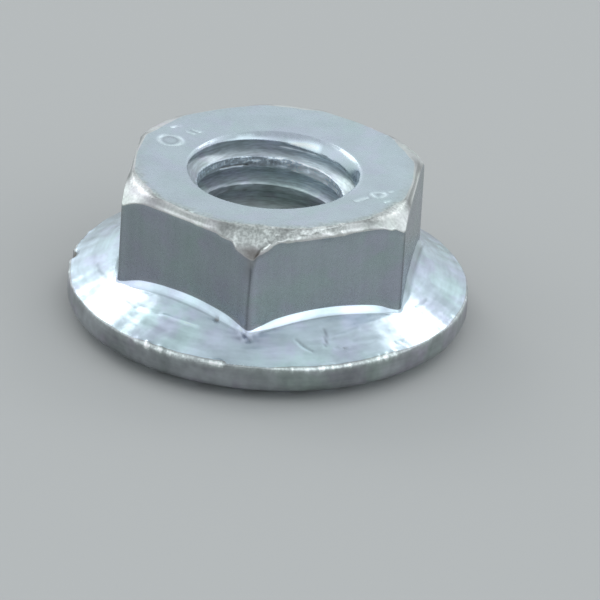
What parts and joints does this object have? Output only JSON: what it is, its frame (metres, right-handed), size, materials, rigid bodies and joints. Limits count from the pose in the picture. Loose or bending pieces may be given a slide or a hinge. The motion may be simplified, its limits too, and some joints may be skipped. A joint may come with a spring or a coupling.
{
  "type": "serrated flange nut",
  "caption": "Hexagon nut with a sloped round flange, a threaded through bore and ratchet serrations under the flange that hold it against turning back.",
  "frame": {"origin": "centre of the bearing face, on the plane of the serration crests", "axes": "+Z along the thread axis, from the serrated bearing face to the plain top face; two wrench flats face +X and -X, and a corner of the hexagon faces -Y"},
  "size_m": [0.0142, 0.0142, 0.0057],
  "materials": {
    "zinc_plate": "bright zinc plating with a pale blue passivate, satin, worn through to a coarse grey at the corners"
  },
  "bodies": {
    "root": {"flange_nut": "zinc_plate"}
  },
  "joints": []
}
